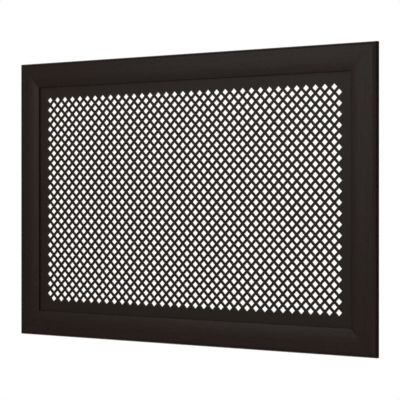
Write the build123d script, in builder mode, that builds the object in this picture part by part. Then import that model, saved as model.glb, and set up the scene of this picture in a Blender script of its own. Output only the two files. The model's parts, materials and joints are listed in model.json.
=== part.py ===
"""A radiator screen: a mitred moulding frame round a perforated sheet, hung on two hooks.

X runs along the width, Y from the room (-Y) to the radiator (+Y), and Z up.
The origin is the middle of the frame's bottom edge, halfway through its thickness.
Lengths are in millimetres.
"""

import os
from math import asin, cos, sin, sqrt

from build123d import *

os.makedirs("parts", exist_ok=True)

# ---- Mouldings of the frame
overall_width = 897.0
overall_height = 600.0
moulding_face = 54.0  # outer edge to inner edge
moulding_thickness = 16.0
outer_radius = 6.5  # round of the outer front edge
back_radius = 1.0
flat_width = 26.0  # flat part of the face, from the outer edge
face_drop = 1.7  # how far the rest of the face curves back
inner_radius = 0.8
lip_thickness = 4.0  # front of the inner edge to the sheet
groove_depth = 9.0

# ---- Perforated sheet
sheet_thickness = 3.0
sheet_play = 0.1  # each side of the sheet in its groove
sheet_end_play = 1.0  # edge of the sheet to the bottom of the groove
hole_side = 10.0
hole_spacing = 15.0  # of a square grid that is turned by 45 degrees
least_border = 20.0  # plain sheet between the frame and the outermost holes

# ---- Mitre dowels
dowel_radius = 3.0
dowel_length = 30.0
dowel_chamfer = 0.8
dowel_play = 0.05  # radial
dowel_end_play = 1.0
dowel_to_edge = 18.0  # outer dowel's middle to both outer edges
dowel_to_groove = 10.0  # inner dowel's middle to the bottom of the groove

# ---- Corner plates on the back
plate_width = 16.0
plate_leg = 80.0
plate_thickness = 1.5
plate_corner = 2.0
plate_hole_inset = 12.0  # end of a leg to its first screw
plate_hole_spacing = 28.0

# ---- Hangers: a slotted bracket on the frame and a hook that slides under it
hanger_offset = 300.0  # middle of the width to each hanger
strap_width = 20.0
strap_corner = 4.0
bend_radius = 1.0  # inside of each bend
bracket_thickness = 2.0
bracket_drop = 38.5  # height of the leg that lies on the frame
bracket_hole_inset = 8.0
bracket_hole_spacing = 14.0
hook_thickness = 2.5
seat_drop = 14.0  # frame's top edge down to the radiator's top
throat = 80.0  # bracket to lip, with the hook pushed in
travel = 40.0
lip_drop = 35.0
arm_clearance = 4.0  # bracket's upright leg to the end of the hook's arm
clamp_inset = 12.0  # end of the arm to the clamp screw
slot_margin = 12.0  # clamp screw, with the hook pulled out, to the bracket's end

# ---- Screws, washers and nuts
plate_screw_radius = 1.5
plate_screw_length = 12.0
plate_sink_floor = 0.1  # metal left under the countersink
bracket_screw_radius = 2.0
bracket_screw_length = 14.0
pan_head_radius = 3.8
pan_head_height = 2.4
wood_screw_tip = 3.0
wood_screw_end = 0.3  # radius at the point
clamp_radius = 2.5
clamp_end_chamfer = 0.5
hook_sink_floor = 0.4
washer_radius = 7.5
washer_thickness = 1.0
nut_across_flats = 8.0
nut_height = 4.0
nut_chamfer = 0.4
thread_showing = 0.5
thread_play = 0.05  # radial, in what the thread bites
hole_play = 0.2  # radial, in what a screw passes through
recess_width = 0.8
recess_depth = 0.9
recess_share = 0.55  # of the head's radius

# ---- Rubber buffers behind the bottom rail
buffer_radius = 8.0
buffer_draft = 1.2  # how much smaller its far end is
buffer_round = 1.0

# ---- Levels and faces that follow from these
back_face = moulding_thickness / 2
half_width = overall_width / 2
sheet_front = -moulding_thickness / 2 + face_drop + lip_thickness
opening_width = overall_width - 2 * moulding_face
opening_height = overall_height - 2 * moulding_face

seat_level = overall_height - seat_drop
bracket_level = seat_level + hook_thickness
bracket_top = bracket_level + bracket_thickness
arm_start = back_face + bracket_thickness + arm_clearance
clamp_y = arm_start + clamp_inset
lip_face = back_face + bracket_thickness + throat
bracket_end = clamp_y + travel + slot_margin

plate_screw_head = plate_screw_radius + plate_thickness - plate_sink_floor
clamp_head = clamp_radius + hook_thickness - hook_sink_floor

to_room = Vector(0, -1, 0)
hanger_x = {"left": -hanger_offset, "right": hanger_offset}

# ---- The frame's corners in order, each with the moulding that starts there
corner_points = {
    "bottom_left": Vector(-half_width, 0, 0),
    "bottom_right": Vector(half_width, 0, 0),
    "top_right": Vector(half_width, 0, overall_height),
    "top_left": Vector(-half_width, 0, overall_height),
}
corners = list(corner_points)
following = dict(zip(corners, corners[1:] + corners[:1]))
mouldings = dict(zip(corners, ("bottom_rail", "right_stile", "top_rail", "left_stile")))


def save(part, name):
    """Label a finished piece and write it under its own name."""
    part.label = name
    export_step(part, f"parts/{name}.step")


def along(corner):
    """The way from a corner to the next one."""
    return (corner_points[following[corner]] - corner_points[corner]).normalized()


def inward(corner):
    """The way from a corner across the face of the moulding that starts there."""
    return to_room.cross(along(corner))


def mitre_plane(corner):
    """The mitre's plane: X from the outer corner inwards, Y towards the room."""
    way = along(corner)
    across = inward(corner)
    return Plane(corner_points[corner], x_dir=way + across, z_dir=way - across)


def facing_back(x, z, lift=0.0):
    """A plane that faces the radiator, lifted off a place on the frame's back."""
    return Plane((x, back_face + lift, z), x_dir=(1, 0, 0), z_dir=(0, 1, 0))


# ---- Where the dowels and screws go
dowel_setbacks = (dowel_to_edge, moulding_face - groove_depth - dowel_to_groove)
dowel_spots = [(setback * sqrt(2), 0) for setback in dowel_setbacks]


def plate_screw_planes(corner):
    """The four screw places of a corner plate, on the plate's outer face."""
    middle = moulding_face / 2
    last = middle - plate_width / 2 + plate_leg - plate_hole_inset
    planes = []
    for reach in (last, last - plate_hole_spacing):
        for u, v in ((reach, middle), (middle, reach)):
            spot = corner_points[corner] + along(corner) * u + inward(corner) * v
            planes.append(facing_back(spot.X, spot.Z, plate_thickness))
    return planes


def bracket_screw_planes(side):
    """The two screw places of a bracket, on its outer face."""
    lowest = bracket_top - bracket_drop + bracket_hole_inset
    heights = (lowest, lowest + bracket_hole_spacing)
    return [facing_back(hanger_x[side], z, bracket_thickness) for z in heights]


# ---- The four mouldings
def moulding_section(plane):
    """The moulding's outline: X inwards from the outer edge, Y towards the room."""
    front = moulding_thickness / 2
    run = moulding_face - flat_width
    sweep_radius = (run**2 + face_drop**2) / (2 * face_drop)
    half_sweep = asin(run / sweep_radius) / 2
    curve_middle = (
        flat_width + sweep_radius * sin(half_sweep),
        front - sweep_radius * (1 - cos(half_sweep)),
    )
    inner_front = (moulding_face, front - face_drop)
    groove_front = -sheet_front + sheet_play
    groove_back = groove_front - sheet_thickness - 2 * sheet_play
    groove_end = moulding_face - groove_depth
    with BuildSketch(plane) as section:
        with BuildLine():
            Polyline((0, -front), (0, front), (flat_width, front))
            ThreePointArc((flat_width, front), curve_middle, inner_front)
            Polyline(
                inner_front,
                (moulding_face, groove_front),
                (groove_end, groove_front),
                (groove_end, groove_back),
                (moulding_face, groove_back),
                (moulding_face, -front),
                (0, -front),
            )
        make_face()
        fillet(section.vertices().group_by(Axis.X)[0].sort_by(Axis.Y)[-1], outer_radius)
        fillet(section.vertices().group_by(Axis.X)[0].sort_by(Axis.Y)[0], back_radius)
        fillet(section.vertices().group_by(Axis.X)[-1].sort_by(Axis.Y)[-1], inner_radius)
    return section.sketch


def dowel_holes(plane, way):
    """Circles on a mitre, sunk one way into the moulding."""
    with BuildSketch(plane) as circles:
        with Locations(*dowel_spots):
            Circle(dowel_radius + dowel_play)
    extrude(circles.sketch, way * (dowel_length / 2 + dowel_end_play), mode=Mode.SUBTRACT)


plate_screws_at = {corner: plate_screw_planes(corner) for corner in corners}
bracket_screws_at = {side: bracket_screw_planes(side) for side in hanger_x}

for corner, name in mouldings.items():
    start_plane = Plane(corner_points[corner], x_dir=inward(corner), z_dir=along(corner))
    length = (corner_points[following[corner]] - corner_points[corner]).length
    start_mitre = mitre_plane(corner)
    end_mitre = mitre_plane(following[corner])
    outline = moulding_section(start_plane)
    with BuildPart() as moulding:
        extrude(outline, amount=length)
        split(bisect_by=start_mitre, keep=Keep.TOP)
        split(bisect_by=end_mitre, keep=Keep.BOTTOM)
        dowel_holes(start_mitre, 1)
        dowel_holes(end_mitre, -1)
        with Locations(*plate_screws_at[corner], *plate_screws_at[following[corner]]):
            CounterSinkHole(
                plate_screw_radius + thread_play,
                plate_screw_head + thread_play,
                plate_screw_length + thread_play,
                counter_sink_angle=90,
            )
        with Locations(*bracket_screws_at["left"], *bracket_screws_at["right"]):
            Hole(bracket_screw_radius + thread_play, bracket_screw_length + thread_play)
    save(moulding.part, name)

# ---- The perforated sheet, held in the groove all round
overlap = 2 * (groove_depth - sheet_end_play)
row_step = hole_spacing / sqrt(2)
hole_diagonal = hole_side * sqrt(2)
spare = 2 * least_border + hole_diagonal
holes_across = (int((opening_width - spare) / row_step) + 1) // 2
hole_rows = int((opening_height - spare) / row_step) + 1
top_row = overall_height / 2 + (hole_rows - 1) * row_step / 2

with BuildPart() as perforated_sheet:
    with BuildSketch(Plane.XZ.offset(-sheet_front)) as holed_face:
        with Locations((0, overall_height / 2)):
            Rectangle(opening_width + overlap, opening_height + overlap)
        for first_row, shift in ((0, -row_step / 2), (1, row_step / 2)):
            rows = (hole_rows + 1 - first_row) // 2
            middle_row = top_row - (first_row + rows - 1) * row_step
            with Locations((shift, middle_row)):
                with GridLocations(2 * row_step, 2 * row_step, holes_across, rows):
                    Rectangle(hole_side, hole_side, rotation=45, mode=Mode.SUBTRACT)
    extrude(amount=-sheet_thickness)
save(perforated_sheet.part, "perforated_sheet")
print("holes", holes_across, "across in", hole_rows, "rows")

# ---- Mitre dowels, two across each mitre
for corner in corners:
    with BuildPart() as dowels:
        with BuildSketch(mitre_plane(corner)):
            with Locations(*dowel_spots):
                Circle(dowel_radius)
        extrude(amount=dowel_length / 2, both=True)
        chamfer(dowels.edges().filter_by(GeomType.CIRCLE), dowel_chamfer)
    save(dowels.part, f"{corner}_dowels")


# ---- Screws, drawn upright with the bearing face of the head at Z = 0
def cross_recess(top, head_radius):
    """Cut a cross into the top of a screw's head."""
    span = 2 * recess_share * head_radius
    with BuildSketch(Plane.XY.offset(top)) as cross:
        Rectangle(span, recess_width)
        Rectangle(recess_width, span)
    extrude(cross.sketch, -recess_depth, mode=Mode.SUBTRACT)


def flat_screw(radius, head_radius, length, tip, end_radius):
    """A countersunk screw whose flat top lies at Z = 0."""
    with BuildPart() as screw:
        with BuildSketch(Plane.XZ):
            with BuildLine():
                Polyline(
                    (0, 0),
                    (head_radius, 0),
                    (radius, radius - head_radius),
                    (radius, tip - length),
                    (end_radius, -length),
                    (0, -length),
                    close=True,
                )
            make_face()
        revolve(axis=Axis.Z)
        cross_recess(0, head_radius)
    return screw.part


def pan_screw(radius, head_radius, head_height, length, tip, end_radius):
    """A screw with a rounded head that stands on Z = 0."""
    with BuildPart() as screw:
        with BuildSketch(Plane.XZ):
            with BuildLine():
                Polyline(
                    (0, head_height),
                    (head_radius, head_height),
                    (head_radius, 0),
                    (radius, 0),
                    (radius, tip - length),
                    (end_radius, -length),
                    (0, -length),
                    close=True,
                )
            make_face()
        revolve(axis=Axis.Z)
        fillet(screw.edges().group_by(Axis.Z)[-1], head_height / 2)
        cross_recess(head_height, head_radius)
    return screw.part


# ---- Corner plates and their screws
plate_screw = flat_screw(
    plate_screw_radius,
    plate_screw_head,
    plate_screw_length,
    wood_screw_tip,
    wood_screw_end,
)

for corner in corners:
    edge = (moulding_face - plate_width) / 2
    origin = corner_points[corner] + Vector(0, back_face, 0)
    flat_on_back = Plane(origin, x_dir=along(corner), z_dir=to_room)
    with BuildPart() as plate:
        with BuildSketch(flat_on_back) as angle:
            with Locations((edge, edge)):
                Rectangle(plate_leg, plate_width, align=Align.MIN)
                Rectangle(plate_width, plate_leg, align=Align.MIN)
            fillet(angle.vertices(), plate_corner)
        extrude(amount=-plate_thickness)
        with Locations(*plate_screws_at[corner]):
            CounterSinkHole(
                plate_screw_radius + hole_play,
                plate_screw_head + hole_play,
                counter_sink_angle=90,
            )
    save(plate.part, f"{corner}_plate")

    with BuildPart() as plate_screws:
        with Locations(*plate_screws_at[corner]):
            add(plate_screw)
    save(plate_screws.part, f"{corner}_plate_screws")

# ---- Hangers
bracket_screw = pan_screw(
    bracket_screw_radius,
    pan_head_radius,
    pan_head_height,
    bracket_screw_length,
    wood_screw_tip,
    wood_screw_end,
)
clamp_stack = hook_thickness + bracket_thickness + washer_thickness + nut_height
clamp_screw = flat_screw(
    clamp_radius,
    clamp_head,
    clamp_stack + thread_showing,
    clamp_end_chamfer,
    clamp_radius - clamp_end_chamfer,
)


def strap(x, points, thickness):
    """A bent strap from its middle line in Y and Z, centred on X."""
    with BuildSketch(Plane.YZ.offset(x - strap_width / 2)) as band:
        with BuildLine():
            FilletPolyline(*points, radius=bend_radius + thickness / 2)
        trace(line_width=thickness)
    extrude(band.sketch, strap_width)


for side, x in hanger_x.items():
    leg_y = back_face + bracket_thickness / 2
    shelf_z = bracket_level + bracket_thickness / 2
    bracket_line = (
        (leg_y, bracket_top - bracket_drop),
        (leg_y, shelf_z),
        (bracket_end, shelf_z),
    )
    with BuildPart() as bracket:
        strap(x, bracket_line, bracket_thickness)
        fillet(bracket.edges().filter_by(Axis.Z).group_by(Axis.Y)[-1], strap_corner)
        fillet(bracket.edges().filter_by(Axis.Y).group_by(Axis.Z)[0], strap_corner)
        with BuildSketch(Plane.XY.offset(bracket_top)):
            with Locations((x, clamp_y + travel / 2)):
                SlotCenterToCenter(travel, 2 * (clamp_radius + hole_play), rotation=90)
        extrude(amount=-bracket_thickness, mode=Mode.SUBTRACT)
        with Locations(*bracket_screws_at[side]):
            Hole(bracket_screw_radius + hole_play, bracket_thickness)
    save(bracket.part, f"{side}_bracket")

    with BuildPart() as bracket_screws:
        with Locations(*bracket_screws_at[side]):
            add(bracket_screw)
    save(bracket_screws.part, f"{side}_bracket_screws")

    arm_z = seat_level + hook_thickness / 2
    lip_y = lip_face + hook_thickness / 2
    hook_line = ((arm_start, arm_z), (lip_y, arm_z), (lip_y, seat_level - lip_drop))
    from_below = Plane((x, clamp_y, seat_level), x_dir=(1, 0, 0), z_dir=(0, 0, -1))
    with BuildPart() as hook:
        strap(x, hook_line, hook_thickness)
        fillet(hook.edges().filter_by(Axis.Z).group_by(Axis.Y)[0], strap_corner)
        fillet(hook.edges().filter_by(Axis.Y).group_by(Axis.Z)[0], strap_corner)
        with Locations(from_below):
            CounterSinkHole(
                clamp_radius + thread_play,
                clamp_head + thread_play,
                hook_thickness,
                counter_sink_angle=90,
            )
    save(hook.part, f"{side}_hook")

    with BuildPart() as hook_clamp_screw:
        with Locations(from_below):
            add(clamp_screw)
    save(hook_clamp_screw.part, f"{side}_clamp_screw")

    with BuildPart() as washer:
        with BuildSketch(Plane((x, clamp_y, bracket_top))):
            Circle(washer_radius)
            Circle(clamp_radius + hole_play, mode=Mode.SUBTRACT)
        extrude(amount=washer_thickness)
    save(washer.part, f"{side}_washer")

    flat = nut_across_flats / 2
    corner_radius = nut_across_flats / sqrt(3)
    nut_seat = Plane((x, clamp_y, bracket_top + washer_thickness))
    nut_side = Plane(nut_seat.origin, x_dir=(1, 0, 0), z_dir=to_room)
    with BuildPart() as nut:
        with BuildSketch(nut_seat):
            RegularPolygon(flat, 6, major_radius=False)
            Circle(clamp_radius + thread_play, mode=Mode.SUBTRACT)
        extrude(amount=nut_height)
        with BuildSketch(nut_side):
            with BuildLine():
                Polyline(
                    (0, 0),
                    (flat, 0),
                    (corner_radius, nut_chamfer),
                    (corner_radius, nut_height - nut_chamfer),
                    (flat, nut_height),
                    (0, nut_height),
                    close=True,
                )
            make_face()
        revolve(axis=Axis(nut_seat.origin, (0, 0, 1)), mode=Mode.INTERSECT)
    save(nut.part, f"{side}_nut")

# ---- Buffers, which stand as far off the frame as the heads of the bracket screws
buffer_height = bracket_thickness + pan_head_height

for side, x in hanger_x.items():
    with BuildPart() as rubber_buffer:
        with BuildSketch(facing_back(x, moulding_face / 2)):
            Circle(buffer_radius)
        with BuildSketch(facing_back(x, moulding_face / 2, buffer_height)):
            Circle(buffer_radius - buffer_draft)
        loft()
        fillet(rubber_buffer.edges().group_by(Axis.Y)[-1], buffer_round)
    save(rubber_buffer.part, f"{side}_buffer")
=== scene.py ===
# %% [markdown]
# # A radiator screen, dressed in Blender
# A radiator screen is a flat panel that hides a radiator and lets its heat
# through. This one is a mitred frame of foil-wrapped fibreboard round a thin
# sheet of diamond holes, and it hangs on two steel hooks. The measured model
# comes from CAD and is loaded as it is: nothing in it may move, so it is the
# jig that every finish and every finer piece is fitted to. Its box is kept,
# because the dressed screen must not grow past it.

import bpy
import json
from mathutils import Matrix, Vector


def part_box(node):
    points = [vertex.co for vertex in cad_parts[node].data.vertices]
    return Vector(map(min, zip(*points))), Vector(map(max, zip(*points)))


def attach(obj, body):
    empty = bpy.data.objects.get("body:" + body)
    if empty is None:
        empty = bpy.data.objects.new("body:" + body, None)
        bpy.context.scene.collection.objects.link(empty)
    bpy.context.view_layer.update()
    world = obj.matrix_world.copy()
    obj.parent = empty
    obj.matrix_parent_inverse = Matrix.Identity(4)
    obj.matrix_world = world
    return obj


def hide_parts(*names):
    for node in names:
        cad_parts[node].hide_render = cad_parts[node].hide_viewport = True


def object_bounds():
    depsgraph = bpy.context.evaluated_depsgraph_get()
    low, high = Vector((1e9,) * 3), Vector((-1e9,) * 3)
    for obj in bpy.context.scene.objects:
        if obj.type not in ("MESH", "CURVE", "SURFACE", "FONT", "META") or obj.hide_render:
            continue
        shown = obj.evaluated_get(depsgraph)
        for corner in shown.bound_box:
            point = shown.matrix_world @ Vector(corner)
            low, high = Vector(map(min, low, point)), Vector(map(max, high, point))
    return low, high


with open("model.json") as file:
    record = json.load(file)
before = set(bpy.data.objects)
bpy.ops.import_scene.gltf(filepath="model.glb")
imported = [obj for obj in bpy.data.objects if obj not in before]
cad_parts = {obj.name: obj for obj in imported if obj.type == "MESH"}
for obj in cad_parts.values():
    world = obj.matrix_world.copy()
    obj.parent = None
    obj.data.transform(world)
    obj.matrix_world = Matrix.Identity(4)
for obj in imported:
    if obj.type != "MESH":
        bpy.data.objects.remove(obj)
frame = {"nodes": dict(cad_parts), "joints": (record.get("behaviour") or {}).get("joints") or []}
nodes = frame["nodes"]
cad_low, cad_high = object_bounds()
print("nodes", len(nodes), "box", [round(v, 4) for v in (*cad_low, *cad_high)])

# %% [markdown]
# ## The camera
# The picture to match was taken from the right, level with the middle of the
# screen. The rows of holes give the exact place: the camera was solved from
# them, so a long lens of 137 mm stands three metres off, 35 degrees round.
# The lens is given by number and isn't found by eye, because a wrong distance
# shows in how fast the holes grow smaller towards the left.

# %% Stand the camera where the holes say
import bpy
from math import cos, radians, sin, sqrt
from mathutils import Matrix, Vector

camera_place = (1.83707, -2.53362, 0.30604)
camera_tilt, camera_turn = radians(89.868), radians(35.385)
sensor_width, focal_length = 36.0, 136.622

scene = bpy.context.scene
scene.view_settings.view_transform = "Standard"

lens = bpy.data.cameras.new("camera")
lens.sensor_fit = "HORIZONTAL"
lens.sensor_width = sensor_width
lens.lens = focal_length
camera = bpy.data.objects.new("camera", lens)
camera.location = camera_place
camera.rotation_euler = (camera_tilt, 0, camera_turn)
scene.collection.objects.link(camera)
scene.camera = camera
print("camera", tuple(camera.location), "lens", lens.lens)

# %% [markdown]
# ## Sums written as sums
# A pattern such as grain is arithmetic on the place of each point. Built by
# hand that is dozens of small Math nodes. Here one small class holds a
# node's output and answers to +, -, * and the rest by adding the node, so
# that a pattern reads as the formula it is. A second class is a tree of
# nodes, with one way to add any node to it, and a third is a jar of paint:
# a new material made of such a tree.

# %% A wire that can be reckoned with
class Wire:
    """One output of a node."""

    def __init__(self, nodes, socket):
        self.nodes = nodes
        self.socket = socket

    def other(self, name):
        """Another output of the same node."""
        return Wire(self.nodes, self.socket.node.outputs[name])

    def math(self, operation, *values):
        sockets = dict(enumerate(values))
        return self.nodes.node("ShaderNodeMath", {"operation": operation}, sockets)

    def __add__(self, other):
        return self.math("ADD", self, other)

    __radd__ = __add__

    def __sub__(self, other):
        return self.math("SUBTRACT", self, other)

    def __rsub__(self, other):
        return self.math("SUBTRACT", other, self)

    def __mul__(self, other):
        return self.math("MULTIPLY", self, other)

    __rmul__ = __mul__

    def __abs__(self):
        return self.math("ABSOLUTE", self)

    def least(self, other):
        return self.math("MINIMUM", self, other)

    def most(self, other):
        return self.math("MAXIMUM", self, other)

    def past(self, start, end):
        """0 before start, 1 after end, smooth between."""
        smooth = {"interpolation_type": "SMOOTHSTEP"}
        sockets = {0: self, 1: start, 2: end}
        return self.nodes.node("ShaderNodeMapRange", smooth, sockets)


# %% A tree of nodes
class Nodes:
    """A node tree, emptied, and one way to add any node to it."""

    def __init__(self, owner):
        owner.use_nodes = True
        self.tree = owner.node_tree
        self.tree.nodes.clear()

    def node(self, kind, settings=None, sockets=None, output=0):
        made = self.tree.nodes.new(kind)
        for name, value in (settings or {}).items():
            setattr(made, name, value)
        for key, value in (sockets or {}).items():
            if isinstance(value, Wire):
                self.tree.links.new(value.socket, made.inputs[key])
            else:
                made.inputs[key].default_value = value
        return Wire(self, made.outputs[output]) if made.outputs else None

    def apart(self, place):
        """The three numbers of a place or a direction."""
        split = self.node("ShaderNodeSeparateXYZ", None, {0: place})
        return split, split.other("Y"), split.other("Z")

    def looking(self):
        """1 for what the eye sees, also through glass, and 1 for its reflections."""
        path = self.node("ShaderNodeLightPath")
        eye = path.most(path.other("Is Transmission Ray"))
        return eye, path.other("Is Glossy Ray")


# %% A jar of paint
class Paint(Nodes):
    """A new material made of nodes."""

    def __init__(self, name):
        self.material = bpy.data.materials.new(name)
        super().__init__(self.material)

    def place(self):
        """Where a point lies, in metres."""
        return self.node("ShaderNodeTexCoord", output="Object")

    def noise(self, place, scale, detail=2.0, roughness=0.5):
        """Cloudy noise, with this many clouds to the metre along X, Y and Z."""
        scaled = self.node("ShaderNodeMapping", None, {"Vector": place, "Scale": scale})
        look = {"Scale": 1.0, "Detail": detail, "Roughness": roughness}
        return self.node("ShaderNodeTexNoise", None, {"Vector": scaled, **look})

    def mixed(self, share, first, second):
        """One colour passing into another."""
        first = (*first, 1) if isinstance(first, tuple) else first
        second = (*second, 1) if isinstance(second, tuple) else second
        sockets = {0: share, 6: first, 7: second}
        return self.node("ShaderNodeMix", {"data_type": "RGBA"}, sockets, 2)

    def bump(self, height, depth):
        """A normal tipped by a height from 0 to 1, which is this many metres deep."""
        return self.node("ShaderNodeBump", None, {"Distance": depth, "Height": height})

    def finish(self, sockets):
        """The surface shader and the material's output."""
        shader = self.node("ShaderNodeBsdfPrincipled", None, sockets)
        self.node("ShaderNodeOutputMaterial", None, {"Surface": shader})
        return self.material


# %% [markdown]
# ## White ground, soft light
# The picture has pure white all round, and yet the frame's edges and its
# right side are dark: the white lies behind the screen, and the room in
# front of it is dim but for one wide soft panel on the left, which the flat
# faces reflect. How the sheen runs over the mouldings tells where the panel
# ends: 38 degrees to the left, and fading from above the camera's level to
# below it. A lamp would do, but the world can hold the panel too, with no
# noise. So the world is white to the camera. Reflections find the panel in
# front, white paper behind, high and low, a pale ceiling on the right, a
# faint light beside the screen on the right, and a dim room for the rest.
# The light that is shed comes from the front and less from the back.

# %% The light that the world sheds
shed_all, shed_front, shed_back = 0.28, 1.30, 0.72
front_way, back_way = (-0.59, -0.79, 0.15), (-0.20, 0.78, 0.59)
full_from = 0.9

world = bpy.data.worlds.new("studio")
scene.world = world
sky = Nodes(world)
world.cycles.sampling_method = "NONE"
way = sky.node("ShaderNodeTexCoord", output="Generated")
east, north, up = sky.apart(way)


def light_from(side):
    """1 where a ray looks nearly straight to this side, 0 square to it and beyond."""
    dot = {"operation": "DOT_PRODUCT"}
    straight = sky.node("ShaderNodeVectorMath", dot, {0: way, 1: side}, "Value")
    return straight.past(0.0, full_from)


shed = shed_all + shed_front * light_from(front_way) + shed_back * light_from(back_way)
print("the world sheds", shed_all, "and more from in front")

# %% The room that the foil reflects
# Angles are in radians, round from straight out into the room, and heights are
# sines. A pair says where a soft edge starts and where it ends.
panel_glow, room_dim, room_right, ceiling_glow = 0.68, 0.03, 0.17, 0.8
panel_left, left_soft = radians(-37.7), 0.03
panel_right, right_soft = radians(-24), 0.05
panel_low, panel_high = sin(radians(-9)), sin(radians(9))
panel_top, top_soft = sin(radians(22)), 0.1
right_round, right_north, right_high = (-0.45, 0.05), (0.0, 0.4), (0.2, 0.4)
paper_north, paper_high = (-0.05, 0.35), (0.30, 0.65)
ceiling_high, ceiling_east = (0.15, 0.5), (-0.35, -0.05)
dim_north = (-0.2, 0.3)

round_to = east.math("ARCTAN2", east, 0 - north)
high_or_low = abs(up)
panel = round_to.past(panel_left - left_soft, panel_left + left_soft)
panel = panel * (1 - round_to.past(panel_right - right_soft, panel_right + right_soft))
panel = panel * up.past(panel_low, panel_high)
panel = panel * (1 - up.past(panel_top, panel_top + top_soft))
right = round_to.past(*right_round) * (1 - north.past(*right_north))
right = right * (1 - high_or_low.past(*right_high))
paper = north.past(*paper_north) * high_or_low.past(*paper_high)
ceiling = up.past(*ceiling_high) * east.past(*ceiling_east)
paper = paper.most(ceiling_glow * ceiling)
dim = room_dim * (1 - north.past(*dim_north))
reflected = dim + panel_glow * panel + room_right * right + (1 - room_dim) * paper
print("a panel of", panel_glow, "is reflected, in a room of", room_dim)

# %% White for the eye, the room for reflections, the shed light for the rest
eye, mirror = sky.looking()
strength = shed + mirror * (reflected - shed)
strength = strength + eye * (1 - strength)
white = (1, 1, 1, 1)
light = sky.node("ShaderNodeBackground", None, {"Color": white, "Strength": strength})
sky.node("ShaderNodeOutputWorld", None, {"Surface": light})
print("the world has", len(sky.tree.nodes), "nodes")

# %% [markdown]
# ## A pale floor that keeps the shadow
# The screen hangs clear of the floor, as it does on a radiator, so its shadow
# is faint and wide. The floor has to look as white as the ground of the
# picture, and yet show that shadow. A lit cloth alone comes out grey, and a
# glowing one loses the shadow. So the eye sees the cloth plus just enough
# glow to make open floor white, and further away plain white takes over.

# %% The floor
floor_level, floor_size = -0.20, 12.0
cloth_colour = (0.9, 0.9, 0.9, 1)
open_floor = 0.92  # how bright the cloth comes out by itself, clear of the shadow
white_by = 0.45  # how far from the screen plain white has taken over, in metres

bpy.ops.object.select_all(action="DESELECT")
bpy.ops.mesh.primitive_plane_add(size=floor_size, location=(0, 0, floor_level))
floor = bpy.context.object
floor.name = "floor"
floor.visible_glossy = False
pale = Paint("pale_floor")
eye, _ = pale.looking()
x, y, _ = pale.apart(pale.place())
away = (abs(x) - cad_high.x).most(0) + abs(y)
near_it = 1 - away.past(0.0, white_by)
cloth = pale.node("ShaderNodeBsdfDiffuse", None, {"Color": cloth_colour})
lift = pale.node("ShaderNodeEmission", None, {"Strength": 1 - open_floor})
shaded = pale.node("ShaderNodeAddShader", None, {0: cloth, 1: lift})
plain_white = pale.node("ShaderNodeEmission", None, {"Strength": 1.0})
seen = pale.node("ShaderNodeMixShader", None, {0: near_it, 1: plain_white, 2: shaded})
both = pale.node("ShaderNodeMixShader", None, {0: eye, 1: cloth, 2: seen})
pale.node("ShaderNodeOutputMaterial", None, {"Surface": both})
floor.data.materials.append(pale.material)
print("floor at", floor_level)

# %% [markdown]
# ## The foil of the frame
# The mouldings are fibreboard wrapped in a thin printed foil, a very dark
# brown wood with a satin lacquer. The foil runs along each moulding, so the
# rails have level grain and the stiles upright grain, and the two meet in a
# sharp line at the mitre. A picture of wood would be cut off at the joints
# and fixed in scale. Noise that is stretched many times along the grain
# gives streaks, finer noise gives pores, and both follow the piece. The foil
# wraps a few millimetres round onto the back and ends there in a slightly
# uneven cut, with the bare board behind it.

# %% A paint chart, and how a measured piece is dressed
def srgb(*levels):
    """A colour as a paint chart gives it, 0 to 255, as Blender wants it."""
    return tuple(
        s / 12.92 if s < 0.04045 else ((s + 0.055) / 1.055) ** 2.4
        for s in (level / 255 for level in levels))


def dress(name, material):
    """Give a node of the measured model its finish."""
    slots = nodes[name].material_slots
    for slot in slots:
        slot.material = material
    print(name, "is finished in", material.name, "in", len(slots), "slots")


# %% Bare board
board_light, board_dark = srgb(186, 154, 114), srgb(154, 122, 86)
board_fleck = srgb(92, 66, 44)


def bare_board(paint, place):
    """Colour and relief of bare fibreboard: fine fibres and a few dark flecks."""
    fibres = paint.noise(place, (700, 700, 700), 6.0, 0.7)
    blotch = paint.noise(place, (35, 35, 35))
    flecks = paint.noise(place, (420, 420, 1300), 1.0).past(0.66, 0.74)
    colour = paint.mixed(fibres * 0.7 + blotch * 0.3, board_light, board_dark)
    return paint.mixed(flecks * 0.35, colour, board_fleck), fibres


# %% Where the foil ends, and where the joints are
# Each pair says where a soft edge starts and where it ends, in metres.
half_width, height = cad_high.x, cad_high.z
board_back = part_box("top_rail")[1].y
stile_low, stile_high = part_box("left_stile")
moulding_face = stile_high.x - stile_low.x
sheet_low, sheet_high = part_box("perforated_sheet")
back_skin = (board_back - 0.0003, board_back - 0.0001)
wrap, wrap_wobble = (0.0068, 0.0070), 0.0009
behind_sheet = (sheet_high.y - 0.0001, sheet_high.y + 0.0001)
inner_edge = (moulding_face - 0.006, moulding_face - 0.005)
joint_line = (0.00008, 0.00032)
print("mouldings", round(moulding_face, 4), "m wide")
print("the foil ends", wrap[1], "m in on their backs")

# %% Foil that runs along a moulding
wenge_dark, wenge_red = srgb(29, 19.5, 15.5), srgb(37, 25, 20.5)
wenge_olive, pore_dark = srgb(34.5, 26, 20), srgb(14, 9, 8)
joint_dark = srgb(10, 7, 6)
foil_rough, board_rough = 0.22, 0.85
foil_relief = 0.00006


def grain(along, lengthways, across):
    """Clouds to the metre, few along the grain and many across it."""
    if along == "X":
        return lengthways, across, across
    return across, across, lengthways


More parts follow.
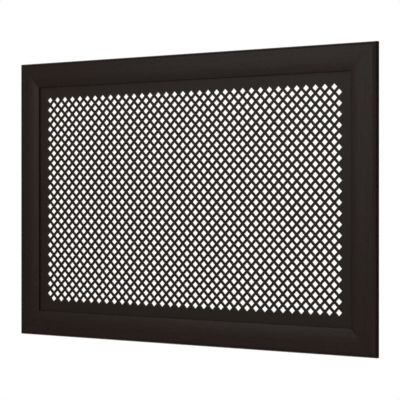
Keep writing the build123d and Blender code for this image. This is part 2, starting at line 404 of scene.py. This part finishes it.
def foil(name, along):
    """Satin wood foil with its grain along X or Z."""
    paint = Paint(name)
    place = paint.place()
    x, y, z = paint.apart(place)
    bands = paint.noise(place, grain(along, 3, 90), 3.0, 0.6)
    streaks = paint.noise(place, grain(along, 9, 520), 4.0, 0.65)
    pores = paint.noise(place, grain(along, 70, 2200), 1.0).past(0.60, 0.70)
    wood = paint.mixed(bands.past(0.35, 0.65), wenge_red, wenge_olive)
    wood = paint.mixed(streaks.past(0.42, 0.78), wood, wenge_dark)
    wood = paint.mixed(pores * 0.35, wood, pore_dark)

    # The foil ends past its wrap on the back, and on the inner wall behind the sheet.
    to_side = half_width - abs(x)
    to_end = z.least(height - z)
    inwards = to_side.least(to_end)
    wobble = (paint.noise(place, (160, 160, 160)) - 0.5) * wrap_wobble
    past_wrap = y.past(*back_skin) * (inwards + wobble).past(*wrap)
    inner_wall = y.past(*behind_sheet) * inwards.past(*inner_edge)
    bare = past_wrap.most(inner_wall)
    board, fibres = bare_board(paint, place)

    # The joint is the line where the side and the end are equally far away.
    joint = 1 - abs(to_side - to_end).past(*joint_line)
    colour = paint.mixed(bare, wood, board)
    rough = foil_rough + streaks * 0.02 + pores * 0.05
    relief = (1 - pores * (1 - bare)) * 0.17 + fibres * bare * 0.5 - joint * 0.4
    return paint.finish({
        "Base Color": paint.mixed(joint * 0.75, colour, joint_dark),
        "Roughness": rough * (1 - bare) + board_rough * bare,
        "Normal": paint.bump(relief, foil_relief),
    })


rail_foil = foil("wenge_foil_rail", "X")
stile_foil = foil("wenge_foil_stile", "Z")
for name in ("top_rail", "bottom_rail"):
    dress(name, rail_foil)
for name in ("left_stile", "right_stile"):
    dress(name, stile_foil)

# %% [markdown]
# ## The perforated sheet
# The sheet is 3 mm hardboard, covered on its face with the same dark foil
# and punched through, so each hole shows the board's dark brown core in its
# walls, and the back is bare and a lighter brown. Painting every wall by hand
# would take weeks: the depth of a point behind the face tells foil, core and
# back apart, so two thresholds do all the holes. The punch leaves the core a
# little darker close to the face, and the foil ends there in a sharp line.

# %% Hardboard with a dark face
face_red, face_olive = srgb(37.5, 27, 20), srgb(36, 27.5, 20)
face_dark = srgb(31, 21.5, 16)
core_light, core_dark, core_edge = srgb(118, 93, 51), srgb(92, 71, 39), srgb(60, 46, 28)
back_light, back_dark = srgb(150, 116, 80), srgb(118, 88, 60)
face_rough, core_rough = 0.30, 0.82
sheet_relief = 0.00005

foil_depth, edge_depth = (0.00012, 0.00020), (0.0002, 0.0007)
sheet_back = (sheet_high.y - 0.0002, sheet_high.y - 0.0001)


def holed_sheet():
    """Foil on the face, core in the holes and bare hardboard on the back."""
    paint = Paint("perforated_hardboard")
    place = paint.place()
    y = paint.apart(place)[1]
    bands = paint.noise(place, (4, 60, 110), 3.0, 0.6)
    streaks = paint.noise(place, (12, 400, 620), 4.0, 0.65)
    face = paint.mixed(bands.past(0.35, 0.65), face_red, face_olive)
    face = paint.mixed(streaks.past(0.42, 0.8), face, face_dark)
    fibres = paint.noise(place, (900, 900, 900), 5.0, 0.7)
    blotch = paint.noise(place, (30, 30, 30))
    core = paint.mixed(fibres * 0.7 + blotch * 0.3, core_light, core_dark)
    depth = y - sheet_low.y
    bare = depth.past(*foil_depth)
    core = paint.mixed((1 - depth.past(*edge_depth)) * 0.3, core, core_edge)
    back = paint.mixed(fibres * 0.6 + blotch * 0.4, back_light, back_dark)
    core = paint.mixed(y.past(*sheet_back), core, back)
    relief = fibres * bare * 0.8 + streaks * (1 - bare) * 0.3
    return paint.finish({
        "Base Color": paint.mixed(bare, face, core),
        "Roughness": face_rough * (1 - bare) + core_rough * bare,
        "Normal": paint.bump(relief, sheet_relief),
    })


dress("perforated_sheet", holed_sheet())

# %% [markdown]
# ## Steel, beech and rubber
# Hidden behind the frame are the fittings: zinc-plated steel for plates,
# brackets and hooks, a brighter plating on the screws, beech dowels and
# black rubber. Plated steel isn't one grey: the zinc lies in faint crystal
# patches, rolling leaves hairlines along the strap, and handling dulls it.

# %% Plated steel
handled_grey = srgb(128, 124, 116)
zinc_relief = 0.00003


def zinc(name, light, dark, rough, hairlines):
    """Plated steel of two greys, with hairlines to the metre along X, Y and Z."""
    paint = Paint(name)
    place = paint.place()
    patches = paint.noise(place, (260, 260, 260))
    smudge = paint.noise(place, (60, 60, 60), 3.0, 0.6)
    lines = paint.noise(place, hairlines, 2.0, 0.6)
    colour = paint.mixed(patches.past(0.35, 0.7), light, dark)
    return paint.finish({
        "Base Color": paint.mixed(smudge.past(0.55, 0.8) * 0.35, colour, handled_grey),
        "Metallic": 1.0,
        "Roughness": rough + smudge * 0.14 + lines * 0.08,
        "Normal": paint.bump(lines * 0.6 + patches * 0.4, zinc_relief),
    })


strap_steel = zinc(
    "zinc_strap", srgb(222, 224, 228), srgb(202, 205, 210), 0.38, (1500, 30, 40))
plate_steel = zinc(
    "zinc_plate", srgb(218, 220, 224), srgb(196, 199, 204), 0.42, (900, 900, 30))
screw_steel = zinc(
    "zinc_screw", srgb(226, 224, 214), srgb(208, 205, 192), 0.30, (900, 900, 900))
print("plated:", strap_steel.name, plate_steel.name, screw_steel.name)

# %% Beech for the dowels
beech_light, beech_dark = srgb(206, 168, 124), srgb(178, 134, 92)
beech_fleck = srgb(140, 98, 64)
beech_rough, beech_relief = 0.62, 0.00004


def beech_wood():
    """Pale wood with fine rings and small dark flecks."""
    paint = Paint("beech_wood")
    place = paint.place()
    rings = paint.noise(place, (900, 900, 120), 3.0, 0.6)
    flecks = paint.noise(place, (500, 2600, 500), 1.0).past(0.62, 0.72)
    colour = paint.mixed(rings, beech_light, beech_dark)
    return paint.finish({
        "Base Color": paint.mixed(flecks * 0.4, colour, beech_fleck),
        "Roughness": beech_rough + rings * 0.1,
        "Normal": paint.bump(rings, beech_relief),
    })


beech = beech_wood()
for name in nodes:
    if name.endswith("_dowels"):
        dress(name, beech)

# %% Rubber for the buffers
rubber_black, rubber_bloom = srgb(34, 34, 35), srgb(62, 61, 60)
rubber_rough, rubber_relief = 0.62, 0.00005


def black_rubber():
    """Matt rubber with a fine grain and a pale bloom here and there."""
    paint = Paint("black_rubber")
    place = paint.place()
    specks = paint.noise(place, (2600, 2600, 2600), 3.0, 0.6)
    bloom = paint.noise(place, (140, 140, 140), 3.0, 0.6).past(0.4, 0.8)
    return paint.finish({
        "Base Color": paint.mixed(bloom * 0.6, rubber_black, rubber_bloom),
        "Roughness": rubber_rough + specks * 0.16,
        "Specular IOR Level": 0.4,
        "Normal": paint.bump(specks, rubber_relief),
    })


rubber = black_rubber()
print("moulded:", rubber.name)

# %% [markdown]
# ## Finer fittings for the back
# The measured model has plain straps and screws. On the real screen these
# are pressed and turned from steel, with rolled edges, countersinks, thread
# and a cross in each screw's head. Each is modelled as by hand: a primitive
# at its place, shaped in edit mode, and finished with a modifier that is
# applied. Faces and edges are picked by where they lie, which stays right
# when the measured model changes, as numbers picked off the screen don't.

# %% Taking a piece up, picking parts of it, and leaving it in its place
import bmesh

mm = 0.001
hair = 0.01 * mm  # the slack in picking a point by its place
squarely = 0.9  # how much of a normal must point a way for the face to look that way


def begin():
    """Object mode, with nothing selected."""
    if bpy.context.object and bpy.context.object.mode == "EDIT":
        bpy.ops.object.mode_set(mode="OBJECT")
    bpy.ops.object.select_all(action="DESELECT")


def take(piece):
    """Make a piece the one that is worked on."""
    begin()
    piece.select_set(True)
    bpy.context.view_layer.objects.active = piece


def settle(name):
    """Leave edit mode and put the object's place into its mesh."""
    piece = bpy.context.object
    take(piece)
    bpy.ops.object.transform_apply(location=True, rotation=True, scale=True)
    piece.name = piece.data.name = name
    return piece


def pick(kind, test):
    """In edit mode, select the verts, edges or faces that pass a test."""
    modes = {"verts": "VERT", "edges": "EDGE", "faces": "FACE"}
    bpy.ops.mesh.select_mode(type=modes[kind])
    bpy.ops.mesh.select_all(action="DESELECT")
    data = bpy.context.object.data
    mesh = bmesh.from_edit_mesh(data)
    for part in getattr(mesh, kind):
        if test(part):
            part.select_set(True)
    bmesh.update_edit_mesh(data)


def draw_out(x=0.0, y=0.0, z=0.0):
    """Extrude what is selected by this much."""
    bpy.ops.mesh.extrude_region_move(TRANSFORM_OT_translate={"value": (x, y, z)})


# %% Modifiers that finish a piece
sharp_from, smooth_up_to = radians(32), radians(34)


def carve(piece, cutter, operation="DIFFERENCE"):
    """Cut one shape out of a piece, or keep what they share."""
    take(piece)
    cut = piece.modifiers.new("cut", "BOOLEAN")
    cut.operation = operation
    cut.object = cutter
    bpy.ops.object.modifier_apply(modifier=cut.name)
    bpy.data.objects.remove(cutter)


def roll_edges(piece, width, segments=2):
    """Round the sharp edges off, as rolling or tumbling does."""
    take(piece)
    roll = piece.modifiers.new("roll", "BEVEL")
    roll.limit_method = "ANGLE"
    roll.angle_limit = sharp_from
    roll.width = width
    roll.segments = segments
    bpy.ops.object.modifier_apply(modifier=roll.name)


def shade(piece):
    """Shade what is round as round, and keep the large flat faces flat."""
    take(piece)
    bpy.ops.object.shade_smooth_by_angle(angle=smooth_up_to)
    weigh = piece.modifiers.new("weigh", "WEIGHTED_NORMAL")
    weigh.keep_sharp = True
    bpy.ops.object.modifier_apply(modifier=weigh.name)


# %% Copying, joining and fitting pieces
backwards, downwards = (0, 1, 0), (0, 0, -1)


def again(piece, name, move):
    """A copy with its own mesh, moved or mirrored."""
    mesh = piece.data.copy()
    mesh.transform(move)
    if move.determinant() < 0:
        mesh.flip_normals()
    copy = bpy.data.objects.new(name, mesh)
    mesh.name = name
    scene.collection.objects.link(copy)
    return copy


def joined(name, pieces):
    """Several meshes as one piece."""
    begin()
    for piece in pieces:
        piece.select_set(True)
    bpy.context.view_layer.objects.active = pieces[0]
    if len(pieces) > 1:
        bpy.ops.object.join()
    return settle(name)


def fit(piece, material, body, node):
    """Finish a piece, let it ride, and let it stand for its measured node."""
    shade(piece)
    piece.data.materials.clear()
    piece.data.materials.append(material)
    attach(piece, body)
    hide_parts(node)
    low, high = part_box(node)
    off = 0
    for axis in range(3):
        reach = [corner[axis] for corner in piece.bound_box]
        off = max(off, abs(min(reach) - low[axis]), abs(max(reach) - high[axis]))
    off = round(off / mm, 3)
    print(piece.name, len(piece.data.polygons), "faces,", off, "mm off its node's box")


def facing(place, axis):
    """The move that takes a piece drawn up the Z axis to its place and way."""
    turned_to = Vector(axis).to_track_quat("Z", "Y").to_matrix().to_4x4()
    return Matrix.Translation(place) @ turned_to


def spun(degrees):
    """A turn about the Z axis, for a piece that isn't in its place yet."""
    return Matrix.Rotation(radians(degrees), 4, "Z")


# %% [markdown]
# ## Turned pieces
# Screws, washers, nuts' chamfers, countersinks and buffers are all round, so
# a lathe is the natural tool. A filled circle is drawn out ring by ring: each
# step extrudes the last face a little way and scales it, as one would with
# the E and S keys. A spin of a profile would do as well, but this way needs
# no doubles merged and leaves both ends closed.

# %% The lathe
def turned(name, rings, sides=32):
    """A turned solid, from rings of a radius and a height in millimetres."""
    begin()
    radius, height = rings[0]
    bpy.ops.mesh.primitive_circle_add(
        vertices=sides, radius=radius * mm, fill_type="NGON",
        location=(0, 0, height * mm))
    bpy.ops.object.mode_set(mode="EDIT")
    bpy.ops.mesh.select_mode(type="FACE")
    bpy.ops.mesh.select_all(action="SELECT")
    for wide, high in rings[1:]:
        draw_out(z=(high - height) * mm)
        share = wide / radius
        bpy.ops.transform.resize(
            value=(share, share, 1), center_override=(0, 0, high * mm))
        radius, height = wide, high
    bpy.ops.mesh.select_all(action="SELECT")
    bpy.ops.mesh.normals_make_consistent(inside=False)
    return settle(name)


def thread(core, crest, start, end, pitch):
    """Rings that run in and out like a thread, with narrow flat crests."""
    crest_starts, crest_ends = 0.45 * pitch, 0.55 * pitch
    rings = [(core, start)]
    while rings[-1][1] + pitch <= end:
        root = rings[-1][1]
        rings += [(crest, root + crest_starts), (crest, root + crest_ends)]
        rings += [(core, root + pitch)]
    return rings


def rounded(wide, high, radius):
    """Rings that round a rim inwards, from upright at its side to level on top."""
    turns = [radians(degrees) for degrees in range(0, 91, 15)]
    return [(wide - radius * (1 - cos(a)), high + radius * sin(a)) for a in turns]


# %% The cross that drives a screw
cross_proud, cross_narrowed = 0.3, 0.6


def cross_cutter(span, width, depth, top):
    """A cross that narrows downwards, in millimetres, with its top a little proud."""
    begin()
    tall = depth + cross_proud
    bpy.ops.mesh.primitive_cube_add(
        size=mm, scale=(width, width, tall),
        location=(0, 0, (top + cross_proud - tall / 2) * mm))
    cutter = settle("cross")
    bpy.ops.object.mode_set(mode="EDIT")
    reach = (span - width) / 2 * mm
    for way in ((1, 0), (-1, 0), (0, 1), (0, -1)):
        across = (way[1], way[0])
        pick("faces", lambda face: face.normal.xy.dot(way) > squarely
             and abs(face.calc_center_median().xy.dot(across)) < width / 4 * mm)
        draw_out(way[0] * reach, way[1] * reach)
    bottom = (top - depth) * mm
    pick("verts", lambda vert: vert.co.z < bottom + hair)
    bpy.ops.transform.resize(
        value=(cross_narrowed, cross_narrowed, 1), center_override=(0, 0, bottom))
    bpy.ops.object.mode_set(mode="OBJECT")
    return cutter


# %% [markdown]
# ## Corner plates and their screws
# A flat steel angle is screwed across each mitre on the back. It is stamped
# from sheet, so its corners are round, its edges are slightly rolled and its
# holes are sunk for flat heads. One is made for the lower left corner, and
# the other three are mirrored from it, to the right, upwards and both ways.

# %% One plate
plate_width, plate_corner, plate_roll = 16 * mm, 2 * mm, 0.14 * mm
flat_within = 0.01

low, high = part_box("bottom_left_plate")
leg, plate_gauge = high.x - low.x, high.y - low.y
elbow = low.x + plate_width
begin()
bpy.ops.mesh.primitive_cube_add(
    size=1, scale=(leg, plate_gauge, plate_width),
    location=((low.x + high.x) / 2, (low.y + high.y) / 2, low.z + plate_width / 2))
plate = settle("plate_bottom_left")
bpy.ops.object.mode_set(mode="EDIT")
bpy.ops.mesh.select_all(action="SELECT")
bpy.ops.mesh.bisect(plane_co=(elbow, 0, 0), plane_no=(1, 0, 0))
pick("faces", lambda f: f.normal.z > squarely and f.calc_center_median().x < elbow)
draw_out(z=leg - plate_width)
bpy.ops.mesh.select_all(action="SELECT")
bpy.ops.mesh.dissolve_limited(angle_limit=flat_within)
pick("edges", lambda e: abs(e.verts[0].co.y - e.verts[1].co.y) > plate_gauge / 2)
bpy.ops.mesh.bevel(offset=plate_corner, segments=6, affect="EDGES")
bpy.ops.object.mode_set(mode="OBJECT")
roll_edges(plate, plate_roll)
print("one plate of", [round(size / mm, 1) for size in (leg, plate_gauge)], "mm")

# %% Its sunk holes
# The plate and its holes are measured in from the screen's own corner.
plate_inset = 19 * mm
hole_line, hole_near, hole_far = 27 * mm, 59 * mm, 87 * mm
plate_back = high.y
plate_holes = [
    (low.x - plate_inset + reach, low.z - plate_inset + rise)
    for reach, rise in ((hole_far, hole_line), (hole_line, hole_far),
                        (hole_near, hole_line), (hole_line, hole_near))]
sink = turned("sink", [(1.7, -3), (1.7, -1.4), (3.04, -0.06), (3.3, 0.05), (3.3, 0.3)])
sinks = [again(sink, "sink_each", facing((x, plate_back, z), backwards))
         for x, z in plate_holes]
bpy.data.objects.remove(sink)
carve(plate, joined("sinks", sinks))
print("it has", len(plate_holes), "sunk holes")

# %% Its three mirror images
mirror_x = Matrix.Scale(-1, 4, (1, 0, 0))
mirror_z = Matrix.Translation((0, 0, height)) @ Matrix.Scale(-1, 4, (0, 0, 1))
corners = {
    "bottom_left": Matrix.Identity(4),
    "bottom_right": mirror_x,
    "top_left": mirror_z,
    "top_right": mirror_x @ mirror_z,
}
for corner, move in corners.items():
    piece = plate if corner == "bottom_left" else again(plate, "plate_" + corner, move)
    fit(piece, plate_steel, "screen", corner + "_plate")

# %% The flat-headed screws of the plates
point = [(0.3, -12), (1.05, -9.4)]
flat_head = [(1.5, -2.0), (1.5, -1.4), (2.9, -0.12), (2.82, 0)]
rings = point + thread(1.05, 1.5, -9.4, -2.4, 1.1) + flat_head
screw = turned("screw", rings, sides=24)
carve(screw, cross_cutter(span=3.2, width=0.8, depth=0.9, top=0))
cross_angles = (11, 48, 85, 122)
for corner, move in corners.items():
    four = []
    for (x, z), angle in zip(plate_holes, cross_angles):
        place = facing((x, plate_back, z), backwards)
        four.append(again(screw, "one_screw", move @ place @ spun(angle)))
    fit(joined("screws_" + corner, four), screw_steel, "screen",
        corner + "_plate_screws")
bpy.data.objects.remove(screw)

# %% [markdown]
# ## Brackets and hooks
# Both are bent from flat strap. The outer skin of the strap is drawn first,
# as a plane whose end is spun round the bend and drawn on, and Solidify then
# gives it the gauge, so the inside of the bend comes out right by itself.
# The bracket has a long slot, and the hook a countersunk hole: the clamp
# screw comes up through the hook and slides in the slot.

# %% A bent strap
strap_half, strap_corner = 10 * mm, 4 * mm
quarter = radians(90)


def near(vert, y, z):
    """Whether a vertex lies on the line through this Y and Z."""
    return abs(vert.co.y - y) + abs(vert.co.z - z) < 2 * hair


def strap(name, start, bend, end, centre, gauge):
    """Skin from start to bend, a quarter round the centre, and on to end.

    All four are a Y and a Z, and the strap lies across X = 0.
    """
    begin()
    bpy.ops.mesh.primitive_plane_add(size=1)
    piece = settle(name)
    skin = [(x, *line) for line in (start, bend) for x in (-strap_half, strap_half)]
    for vert, place in zip(piece.data.vertices, skin):
        vert.co = place
    bpy.ops.object.mode_set(mode="EDIT")
    pick("edges", lambda e: all(near(v, *bend) for v in e.verts))
    bpy.ops.mesh.spin(steps=8, angle=quarter, center=(0, *centre), axis=(1, 0, 0))
    spoke = Vector((bend[0] - centre[0], bend[1] - centre[1]))
    spoke.rotate(Matrix.Rotation(-quarter, 2))
    last = (centre[0] + spoke.x, centre[1] + spoke.y)
    pick("edges", lambda e: all(near(v, *last) for v in e.verts))
    draw_out(0, end[0] - last[0], end[1] - last[1])
    for y, z in (start, end):
        pick("verts", lambda v: near(v, y, z))
        bpy.ops.mesh.bevel(offset=strap_corner, segments=8, affect="VERTICES")
    bpy.ops.mesh.select_all(action="SELECT")
    bpy.ops.mesh.remove_doubles(threshold=0.1 * hair)
    bpy.ops.mesh.normals_make_consistent(inside=False)
    bpy.ops.object.mode_set(mode="OBJECT")
    flat = max(piece.data.polygons, key=lambda f: f.area)
    inwards = flat.normal.dot(Vector((0, *centre)) - flat.center)
    wall = piece.modifiers.new("wall", "SOLIDIFY")
    wall.thickness = gauge
    wall.offset = 1 if inwards > 0 else -1
    wall.use_even_offset = True
    take(piece)
    bpy.ops.object.modifier_apply(modifier=wall.name)
    return piece


# %% One bracket, bent
bracket_gauge, bracket_bend, bracket_roll = 2 * mm, 3 * mm, 0.2 * mm
bracket_low, bracket_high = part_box("left_bracket")
bend_y, bend_z = bracket_low.y + bracket_bend, bracket_high.z - bracket_bend
bracket = strap(
    "bracket", start=(bracket_low.y, bracket_low.z), bend=(bracket_low.y, bend_z),
    end=(bracket_high.y, bracket_high.z), centre=(bend_y, bend_z), gauge=bracket_gauge)
roll_edges(bracket, bracket_roll)
print("bracket bent, with", len(bracket.data.polygons), "faces")

# %% The slot that the clamp screw slides in
washer_low, washer_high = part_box("left_washer")
clamp_y = (washer_low.y + washer_high.y) / 2
travel = frame["joints"][0]["range_m"][1]
slot = turned("slot", [(3.2, -1.3), (2.7, -0.92), (2.7, 0.92), (3.2, 1.3)])
bpy.ops.object.mode_set(mode="EDIT")
pick("verts", lambda v: v.co.y > hair)
bpy.ops.transform.translate(value=(0, travel, 0))
bpy.ops.object.mode_set(mode="OBJECT")
mid_top = bracket_high.z - bracket_gauge / 2
slot.data.transform(Matrix.Translation((0, clamp_y, mid_top)))
carve(bracket, slot)
print("slot for a travel of", round(travel / mm, 1), "mm")

# %% The screw holes, and a bracket for each side
screw_heights = [bracket_low.z + rise for rise in (8 * mm, 22 * mm)]
hole = turned("hole", [(2.2, -3), (2.2, 0.9), (2.5, 1.2)])
mid_wall = bracket_low.y + bracket_gauge / 2
holes = [again(hole, "hole_each", facing((0, mid_wall, z), backwards))
         for z in screw_heights]
bpy.data.objects.remove(hole)
carve(bracket, joined("holes", holes))

hanger_x = (bracket_low.x + bracket_high.x) / 2
sides = {"left": hanger_x, "right": -hanger_x}
for side, x in sides.items():
    piece = again(bracket, "bracket_" + side, Matrix.Translation((x, 0, 0)))
    fit(piece, strap_steel, "screen", side + "_bracket")
bpy.data.objects.remove(bracket)

# %% Their pan-headed screws
point = [(0.3, -14), (1.4, -11)]
pan_head = [(2.0, -3.2), (2.0, 0), (3.65, 0), (3.8, 0.15)] + rounded(3.8, 1.2, 1.2)
screw = turned("screw", point + thread(1.4, 2.0, -11, -3.5, 1.4) + pan_head)
carve(screw, cross_cutter(span=4.2, width=0.8, depth=0.9, top=2.4))
bracket_back = bracket_low.y + bracket_gauge
cross_angles = (20, 63)
for side, x in sides.items():
    two = []
    for z, angle in zip(screw_heights, cross_angles):
        place = facing((x, bracket_back, z), backwards)
        two.append(again(screw, "one_screw", place @ spun(angle)))
    fit(joined("bracket_screws_" + side, two), screw_steel, "screen",
        side + "_bracket_screws")
bpy.data.objects.remove(screw)

# %% The hooks
hook_gauge, hook_bend, hook_roll = 2.5 * mm, 3.5 * mm, 0.25 * mm
hook_low, hook_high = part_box("left_hook")
hook_under = hook_high.z - hook_gauge

bend_y, bend_z = hook_high.y - hook_bend, hook_high.z - hook_bend
hook = strap(
    "hook", start=(hook_low.y, hook_high.z), bend=(bend_y, hook_high.z),
    end=(hook_high.y, hook_low.z), centre=(bend_y, bend_z), gauge=hook_gauge)
roll_edges(hook, hook_roll)
sink = [(2.55, -4), (2.55, -2.1), (4.6, -0.05), (4.85, 0.04), (4.85, 0.3)]
sink = turned("sink", sink)
carve(hook, again(sink, "sunk", facing((0, clamp_y, hook_under), downwards)))
bpy.data.objects.remove(sink)
for side, x in sides.items():
    piece = again(hook, "hook_" + side, Matrix.Translation((x, 0, 0)))
    fit(piece, strap_steel, side + "_hanger", side + "_hook")
bpy.data.objects.remove(hook)

# %% [markdown]
# ## Clamp screw, washer and nut
# An M5 screw with a flat head holds the hook against the bracket, with a wide
# washer over the slot. The nut is a six-sided bar whose corners are turned
# off at both ends: the bar and a turned blank are laid over each other, and
# only what both share is kept, which is how the real chamfer comes about.

# %% Clamp screw and washer
point = [(2.0, -10), (2.35, -9.6)]
flat_head = [(2.5, -2.6), (2.5, -2.1), (4.6, -0.12), (4.5, 0)]
screw = turned("screw", point + thread(2.15, 2.5, -9.6, -2.8, 0.8) + flat_head)
carve(screw, cross_cutter(span=5.0, width=0.9, depth=0.9, top=0))

rings = [(7.35, 0), (7.5, 0.15), (7.5, 0.85), (7.35, 1.0)]
washer = turned("washer", rings, sides=48)
carve(washer, turned("bore", [(2.7, -1), (2.7, 2)]))
for made in (screw, washer):
    print(made.name, len(made.data.polygons), "faces")

# %% Nut
nut_across, nut_tall, nut_roll = 8, 4, 0.06 * mm
begin()
bpy.ops.mesh.primitive_cylinder_add(
    vertices=6, radius=nut_across / sqrt(3) * mm, depth=nut_tall * mm,
    location=(0, 0, nut_tall / 2 * mm), rotation=(0, 0, radians(30)))
nut = settle("nut")
blank = [(4.05, 0), (4.65, 0.36), (4.65, 3.64), (4.05, 4.0)]
carve(nut, turned("blank", blank, sides=48), "INTERSECT")
carve(nut, turned("bore", [(3.05, -0.2), (2.55, 0.35), (2.55, 3.65), (3.05, 4.2)]))
roll_edges(nut, nut_roll, segments=1)
print("nut", len(nut.data.polygons), "faces")

# %% All three in their places, left and right
nut_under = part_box("left_nut")[0].z
for side, x in sides.items():
    clamp = [
        (screw, "clamp_screw", facing((x, clamp_y, hook_under), downwards)),
        (washer, "washer", Matrix.Translation((x, clamp_y, washer_low.z))),
        (nut, "nut", Matrix.Translation((x, clamp_y, nut_under))),
    ]
    for made, kind, move in clamp:
        piece = again(made, kind + "_" + side, move)
        fit(piece, screw_steel, side + "_hanger", side + "_" + kind)
for made in (screw, washer, nut):
    bpy.data.objects.remove(made)

# %% [markdown]
# ## Rubber buffers
# Two soft discs keep the bottom rail off the radiator. Moulded rubber has a
# thin flange, a draft so that it leaves the mould, a rounded rim and a small
# dimple where the rubber was let in. The dimple tells it from a plain disc.

# %% The buffers
low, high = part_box("left_buffer")
tall = (high.y - low.y) / mm
flange = [(8.0, 0), (8.0, 0.35), (7.85, 0.5), (7.75, 0.8)]
dimple = [(2.6, tall), (2.4, tall - 0.1), (2.0, tall - 0.45), (0.8, tall - 0.5)]
rings = flange + rounded(6.8, tall - 1.0, 1.0) + dimple
buffer = turned("buffer", rings, sides=48)
buffer_z = (low.z + high.z) / 2
for side, x in sides.items():
    piece = again(buffer, "buffer_" + side, facing((x, low.y, buffer_z), backwards))
    fit(piece, rubber, "screen", side + "_buffer")
bpy.data.objects.remove(buffer)

# %% Finish
import json
